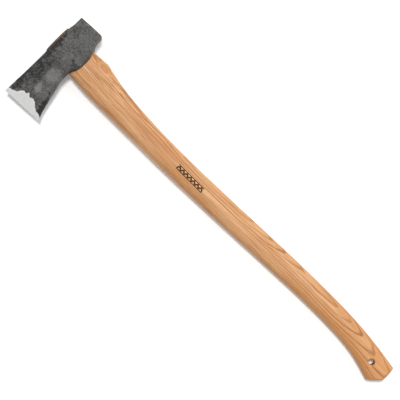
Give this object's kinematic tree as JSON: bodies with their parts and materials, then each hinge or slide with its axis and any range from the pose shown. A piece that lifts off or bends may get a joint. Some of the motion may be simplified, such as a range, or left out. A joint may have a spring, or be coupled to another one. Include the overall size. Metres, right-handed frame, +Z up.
{
  "type": "splitting maul",
  "caption": "Long-handled splitting maul: a wedge-shaped forged steel head with a square poll on a curved hickory handle, fixed by a wooden wedge and a steel ring wedge.",
  "frame": {"origin": "on the ground plane that a cheek lies on, under the middle of the maul's length and width", "axes": "+X along the handle from the head to the butt, +Y from the cutting edge to the poll, +Z up through the cheeks; the maul lies on its side"},
  "size_m": [0.8008, 0.1816, 0.057],
  "materials": {
    "forged_steel": "forge scale, dark grey and matt, with bright ground bevels at the cutting edge",
    "hickory": "sanded and oiled, grain along the handle, end grain at both ends",
    "wedge_wood": "darker hardwood, oiled end grain",
    "wedge_steel": "bare steel, marked by hammer blows"
  },
  "bodies": {
    "root": {"head": "forged_steel", "handle": "hickory", "wooden_wedge": "wedge_wood", "ring_wedge": "wedge_steel"}
  },
  "joints": []
}
